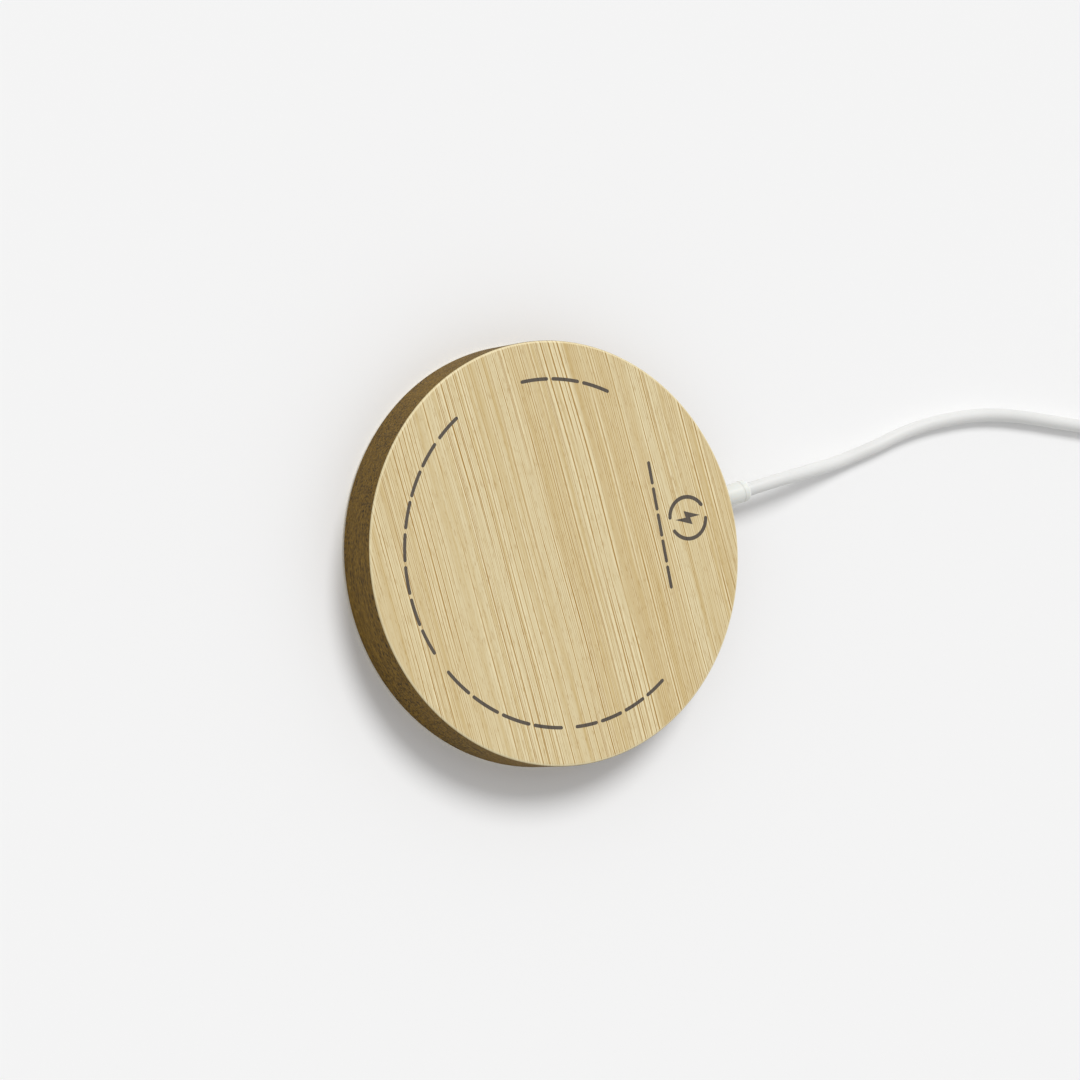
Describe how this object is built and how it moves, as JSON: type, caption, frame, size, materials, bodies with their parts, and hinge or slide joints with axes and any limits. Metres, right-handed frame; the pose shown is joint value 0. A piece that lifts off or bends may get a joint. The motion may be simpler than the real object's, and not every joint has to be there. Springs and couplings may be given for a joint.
{
  "type": "wireless charging pad",
  "caption": "Round magnetic wireless charging pad in a bamboo case, with a flat back, a soft-ringed charging face and a thin white captive cord.",
  "frame": {"origin": "middle of the charging face, on the plane of its soft ring", "axes": "+Z out of the bamboo back, +X along the cord where it leaves the side"},
  "size_m": [0.2048, 0.066, 0.009],
  "materials": {
    "bamboo": "natural laminated bamboo, oiled satin",
    "cover_white": "fine matt ABS",
    "grip_silicone": "soft matt silicone",
    "adhesive_film": "thin double-sided film",
    "foam_black": "foam tape",
    "copper_litz": "enamelled copper litz",
    "ferrite": "sintered ferrite",
    "carrier_plastic": "moulded nylon",
    "magnet_nickel": "nickel-plated magnet",
    "shunt_steel": "zinc-plated steel strip",
    "screw_steel": "plated steel",
    "board_green": "solder-masked glass epoxy",
    "chip_black": "moulded epoxy",
    "capacitor_tan": "ceramic chip with tinned ends",
    "chip_grey": "ceramic chip",
    "thermistor_bead": "coated bead",
    "wire_red": "wire insulation",
    "wire_black": "wire insulation",
    "wire_green": "wire insulation",
    "wire_white": "wire insulation",
    "cord_white": "matt TPE jacket",
    "collar_white": "slightly translucent TPE",
    "crimp_metal": "pressed sleeve",
    "tie_grey": "hook-and-loop strap",
    "plug_white": "moulded grip, fine spark texture",
    "plug_metal": "nickel-plated steel shell",
    "plug_black": "moulded liner",
    "contact_gold": "gold-plated contacts",
    "print_ink": null
  },
  "bodies": {
    "root": {"bamboo_case": "bamboo", "charging_cover": "cover_white", "grip_ring": "grip_silicone", "cover_tape": "adhesive_film", "charging_coil": "copper_litz", "coil_tape": "adhesive_film", "ferrite_disc": "ferrite", "ferrite_tape": "adhesive_film", "magnet_carrier": "carrier_plastic", "alignment_magnets": "magnet_nickel", "shunt_ring": "shunt_steel", "carrier_screws": "screw_steel", "board_tape": "foam_black", "circuit_board": "board_green", "controller_chip": "chip_black", "protocol_chip": "chip_black", "bridge_transistors": "chip_black", "resonant_capacitors": "capacitor_tan", "filter_capacitors": "capacitor_tan", "sense_resistor": "chip_black", "small_passives": "chip_grey", "thermistor": "thermistor_bead", "wire_red": "wire_red", "wire_black": "wire_black", "wire_green": "wire_green", "wire_white": "wire_white", "cord_tail": "cord_white", "cord_crimp": "crimp_metal", "strain_relief": "collar_white", "cord": "cord_white", "cord_coil": "cord_white", "coil_tie": "tie_grey", "cord_end": "cord_white", "plug_body": "plug_white", "plug_shell": "plug_metal", "plug_liner": "plug_black", "plug_contacts": "contact_gold", "plug_board": "board_green"}
  },
  "joints": []
}
